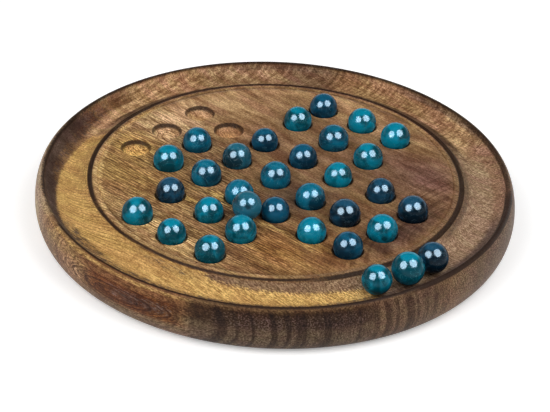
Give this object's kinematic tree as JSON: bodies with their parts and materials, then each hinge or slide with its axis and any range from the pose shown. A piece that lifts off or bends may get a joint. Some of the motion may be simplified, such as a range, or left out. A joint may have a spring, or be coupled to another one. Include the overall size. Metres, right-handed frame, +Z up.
{
  "type": "marble solitaire board",
  "caption": "Round turned wooden peg-jump game board with a cross of round hollows, a groove round the edge for captured marbles, and loose polished stone marbles.",
  "frame": {"origin": "centre of the board's base, on the axis that the board was turned on", "axes": "+Z up out of the playing field, +X along the grain and the long rows of hollows, +Y towards the last row"},
  "size_m": [0.2996, 0.2996, 0.0493],
  "materials": {
    "wood": "satin oiled, turned",
    "stone_teal": "polished",
    "stone_blue": "polished",
    "stone_navy": "polished",
    "stone_ink": "polished",
    "stone_slate": "polished"
  },
  "bodies": {
    "board": {"board": "wood"},
    "groove_marble_1": {"groove_marble_1": "stone_teal"},
    "groove_marble_2": {"groove_marble_2": "stone_teal"},
    "groove_marble_3": {"groove_marble_3": "stone_ink"},
    "loose_marble": {"loose_marble": "stone_slate"},
    "marble_b3": {"marble_b3": "stone_teal"},
    "marble_b4": {"marble_b4": "stone_blue"},
    "marble_c1": {"marble_c1": "stone_teal"},
    "marble_c2": {"marble_c2": "stone_ink"},
    "marble_c3": {"marble_c3": "stone_blue"},
    "marble_c4": {"marble_c4": "stone_slate"},
    "marble_c5": {"marble_c5": "stone_navy"},
    "marble_c6": {"marble_c6": "stone_teal"},
    "marble_c7": {"marble_c7": "stone_navy"},
    "marble_d1": {"marble_d1": "stone_teal"},
    "marble_d2": {"marble_d2": "stone_teal"},
    "marble_d3": {"marble_d3": "stone_blue"},
    "marble_d4": {"marble_d4": "stone_blue"},
    "marble_d5": {"marble_d5": "stone_navy"},
    "marble_d6": {"marble_d6": "stone_blue"},
    "marble_d7": {"marble_d7": "stone_teal"},
    "marble_e1": {"marble_e1": "stone_teal"},
    "marble_e2": {"marble_e2": "stone_teal"},
    "marble_e3": {"marble_e3": "stone_navy"},
    "marble_e4": {"marble_e4": "stone_blue"},
    "marble_e5": {"marble_e5": "stone_teal"},
    "marble_e6": {"marble_e6": "stone_teal"},
    "marble_e7": {"marble_e7": "stone_teal"},
    "marble_f3": {"marble_f3": "stone_teal"},
    "marble_f4": {"marble_f4": "stone_ink"},
    "marble_f5": {"marble_f5": "stone_ink"},
    "marble_g3": {"marble_g3": "stone_navy"},
    "marble_g4": {"marble_g4": "stone_teal"},
    "marble_g5": {"marble_g5": "stone_ink"}
  },
  "joints": [
    {"name": "groove_roll_1", "type": "hinge", "parent": "board", "child": "groove_marble_1", "pos_m": [0, 0, 0], "axis": [0, 0, 1], "range_deg": [-160, 0]},
    {"name": "groove_roll_3", "type": "hinge", "parent": "board", "child": "groove_marble_3", "pos_m": [0, 0, 0], "axis": [0, 0, 1], "range_deg": [0, 160]},
    {"name": "groove_lift_2", "type": "slide", "parent": "board", "child": "groove_marble_2", "axis": [0, 0, 1], "range_m": [0, 0.04]},
    {"name": "loose_lift", "type": "slide", "parent": "board", "child": "loose_marble", "axis": [0, 0, 1], "range_m": [0, 0.04]},
    {"name": "lift_b3", "type": "slide", "parent": "board", "child": "marble_b3", "axis": [0, 0, 1], "range_m": [0, 0.04]},
    {"name": "lift_b4", "type": "slide", "parent": "board", "child": "marble_b4", "axis": [0, 0, 1], "range_m": [0, 0.04]},
    {"name": "lift_c1", "type": "slide", "parent": "board", "child": "marble_c1", "axis": [0, 0, 1], "range_m": [0, 0.04]},
    {"name": "lift_c2", "type": "slide", "parent": "board", "child": "marble_c2", "axis": [0, 0, 1], "range_m": [0, 0.04]},
    {"name": "lift_c3", "type": "slide", "parent": "board", "child": "marble_c3", "axis": [0, 0, 1], "range_m": [0, 0.04]},
    {"name": "lift_c4", "type": "slide", "parent": "board", "child": "marble_c4", "axis": [0, 0, 1], "range_m": [0, 0.04]},
    {"name": "lift_c5", "type": "slide", "parent": "board", "child": "marble_c5", "axis": [0, 0, 1], "range_m": [0, 0.04]},
    {"name": "lift_c6", "type": "slide", "parent": "board", "child": "marble_c6", "axis": [0, 0, 1], "range_m": [0, 0.04]},
    {"name": "lift_c7", "type": "slide", "parent": "board", "child": "marble_c7", "axis": [0, 0, 1], "range_m": [0, 0.04]},
    {"name": "lift_d1", "type": "slide", "parent": "board", "child": "marble_d1", "axis": [0, 0, 1], "range_m": [0, 0.04]},
    {"name": "lift_d2", "type": "slide", "parent": "board", "child": "marble_d2", "axis": [0, 0, 1], "range_m": [0, 0.04]},
    {"name": "lift_d3", "type": "slide", "parent": "board", "child": "marble_d3", "axis": [0, 0, 1], "range_m": [0, 0.04]},
    {"name": "lift_d4", "type": "slide", "parent": "board", "child": "marble_d4", "axis": [0, 0, 1], "range_m": [0, 0.04]},
    {"name": "lift_d5", "type": "slide", "parent": "board", "child": "marble_d5", "axis": [0, 0, 1], "range_m": [0, 0.04]},
    {"name": "lift_d6", "type": "slide", "parent": "board", "child": "marble_d6", "axis": [0, 0, 1], "range_m": [0, 0.04]},
    {"name": "lift_d7", "type": "slide", "parent": "board", "child": "marble_d7", "axis": [0, 0, 1], "range_m": [0, 0.04]},
    {"name": "lift_e1", "type": "slide", "parent": "board", "child": "marble_e1", "axis": [0, 0, 1], "range_m": [0, 0.04]},
    {"name": "lift_e2", "type": "slide", "parent": "board", "child": "marble_e2", "axis": [0, 0, 1], "range_m": [0, 0.04]},
    {"name": "lift_e3", "type": "slide", "parent": "board", "child": "marble_e3", "axis": [0, 0, 1], "range_m": [0, 0.04]},
    {"name": "lift_e4", "type": "slide", "parent": "board", "child": "marble_e4", "axis": [0, 0, 1], "range_m": [0, 0.04]},
    {"name": "lift_e5", "type": "slide", "parent": "board", "child": "marble_e5", "axis": [0, 0, 1], "range_m": [0, 0.04]},
    {"name": "lift_e6", "type": "slide", "parent": "board", "child": "marble_e6", "axis": [0, 0, 1], "range_m": [0, 0.04]},
    {"name": "lift_e7", "type": "slide", "parent": "board", "child": "marble_e7", "axis": [0, 0, 1], "range_m": [0, 0.04]},
    {"name": "lift_f3", "type": "slide", "parent": "board", "child": "marble_f3", "axis": [0, 0, 1], "range_m": [0, 0.04]},
    {"name": "lift_f4", "type": "slide", "parent": "board", "child": "marble_f4", "axis": [0, 0, 1], "range_m": [0, 0.04]},
    {"name": "lift_f5", "type": "slide", "parent": "board", "child": "marble_f5", "axis": [0, 0, 1], "range_m": [0, 0.04]},
    {"name": "lift_g3", "type": "slide", "parent": "board", "child": "marble_g3", "axis": [0, 0, 1], "range_m": [0, 0.04]},
    {"name": "lift_g4", "type": "slide", "parent": "board", "child": "marble_g4", "axis": [0, 0, 1], "range_m": [0, 0.04]},
    {"name": "lift_g5", "type": "slide", "parent": "board", "child": "marble_g5", "axis": [0, 0, 1], "range_m": [0, 0.04]}
  ]
}
